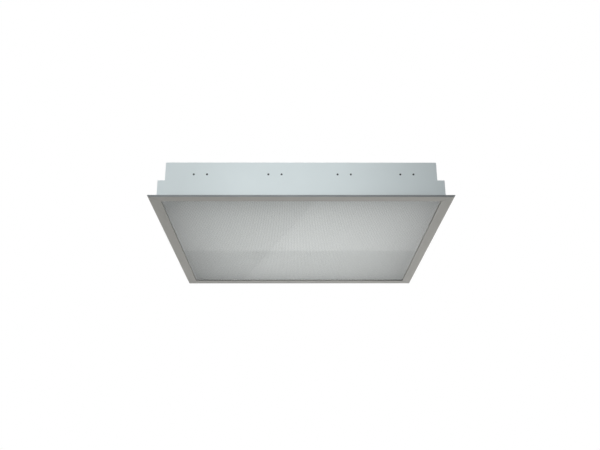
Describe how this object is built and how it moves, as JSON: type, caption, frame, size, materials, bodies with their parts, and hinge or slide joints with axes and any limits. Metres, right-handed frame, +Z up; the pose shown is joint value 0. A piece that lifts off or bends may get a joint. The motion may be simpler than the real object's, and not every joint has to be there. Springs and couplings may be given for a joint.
{
  "type": "recessed ceiling light",
  "caption": "Square recessed ceiling light: stepped folded steel housing, fluorescent lamps in rotary lampholders, and a drop-down mitred aluminium door frame with a prismatic diffuser.",
  "frame": {"origin": "centre of the hanger hole pattern, on the outer face of the housing's top plate", "axes": "+Z up through the top plate, towards the ceiling slab; +Y along the lamps, away from the near end plate; +X across the lamps, away from the hinge side"},
  "size_m": [0.595, 0.595, 0.0794],
  "materials": {
    "white_paint": "satin powder coat",
    "reflector_paint": "matt white powder coat",
    "frame_aluminium": "satin grey",
    "prismatic_diffuser": "prismatic, smooth outer face",
    "gasket_rubber": "matt",
    "seal_foam": "matt",
    "lamp_glass": "phosphor coated",
    "lamp_cap": "satin",
    "pin_brass": "bright",
    "holder_plastic": "moulded",
    "fixing_steel": "dark oxide",
    "zinc_steel": "zinc plated",
    "spring_steel": "blued",
    "ballast_case": "coated steel case",
    "terminal_plastic": "moulded",
    "wire_sleeve": "soft sleeve"
  },
  "bodies": {
    "housing": {"housing_shell": "white_paint", "end_plate_near": "white_paint", "end_plate_far": "white_paint", "reflector": "reflector_paint", "reflector_screws": "zinc_steel", "ballast": "ballast_case", "terminal_block": "terminal_plastic", "gear_screws": "zinc_steel", "earth_tag": "pin_brass", "earth_nut": "zinc_steel", "cable_grommet": "gasket_rubber", "wiring_near": "wire_sleeve", "wiring_far": "wire_sleeve", "wiring_supply": "wire_sleeve", "lampholders_near": "holder_plastic", "lampholders_far": "holder_plastic", "lampholder_pins_near": "fixing_steel", "lampholder_pins_far": "fixing_steel", "hinge_guides": "zinc_steel", "guide_rivets": "zinc_steel", "catch_springs": "spring_steel", "catch_rivets": "zinc_steel"},
    "straps": {"hinge_straps": "zinc_steel"},
    "door": {"frame_rail_near": "frame_aluminium", "frame_rail_far": "frame_aluminium", "frame_rail_left": "frame_aluminium", "frame_rail_right": "frame_aluminium", "corner_keys": "zinc_steel", "corner_screws": "zinc_steel", "frame_rivets": "zinc_steel", "frame_seal": "seal_foam", "diffuser": "prismatic_diffuser", "diffuser_gasket": "gasket_rubber", "diffuser_clips": "spring_steel", "hinge_pins": "zinc_steel", "hinge_ears": "zinc_steel"},
    "lamp_1": {"lamp_tube_1": "lamp_glass", "lamp_caps_1": "lamp_cap", "lamp_pins_1": "pin_brass", "rotors_1": "holder_plastic"},
    "lamp_2": {"lamp_tube_2": "lamp_glass", "lamp_caps_2": "lamp_cap", "lamp_pins_2": "pin_brass", "rotors_2": "holder_plastic"},
    "lamp_3": {"lamp_tube_3": "lamp_glass", "lamp_caps_3": "lamp_cap", "lamp_pins_3": "pin_brass", "rotors_3": "holder_plastic"},
    "lamp_4": {"lamp_tube_4": "lamp_glass", "lamp_caps_4": "lamp_cap", "lamp_pins_4": "pin_brass", "rotors_4": "holder_plastic"}
  },
  "joints": [
    {"name": "strap_drop", "type": "slide", "parent": "housing", "child": "straps", "axis": [0, 0, -1], "range_m": [0, 0.0421]},
    {"name": "door_swing", "type": "hinge", "parent": "straps", "child": "door", "pos_m": [-0.2724, 0, -0.0693], "axis": [0, 1, 0], "range_deg": [0, 90]},
    {"name": "lamp_turn_1", "type": "hinge", "parent": "housing", "child": "lamp_1", "pos_m": [-0.19789, 0, -0.0372], "axis": [0, 1, 0], "range_deg": [0, 90]},
    {"name": "lamp_turn_2", "type": "hinge", "parent": "housing", "child": "lamp_2", "pos_m": [-0.05174, 0, -0.0372], "axis": [0, 1, 0], "range_deg": [0, 90]},
    {"name": "lamp_turn_3", "type": "hinge", "parent": "housing", "child": "lamp_3", "pos_m": [0.08428, 0, -0.0372], "axis": [0, 1, 0], "range_deg": [0, 90]},
    {"name": "lamp_turn_4", "type": "hinge", "parent": "housing", "child": "lamp_4", "pos_m": [0.20749, 0, -0.0372], "axis": [0, 1, 0], "range_deg": [0, 90]}
  ],
  "couplings": [
    {"joint": "strap_drop", "follows": "door_swing", "m_per_rad": 0.026738}
  ]
}
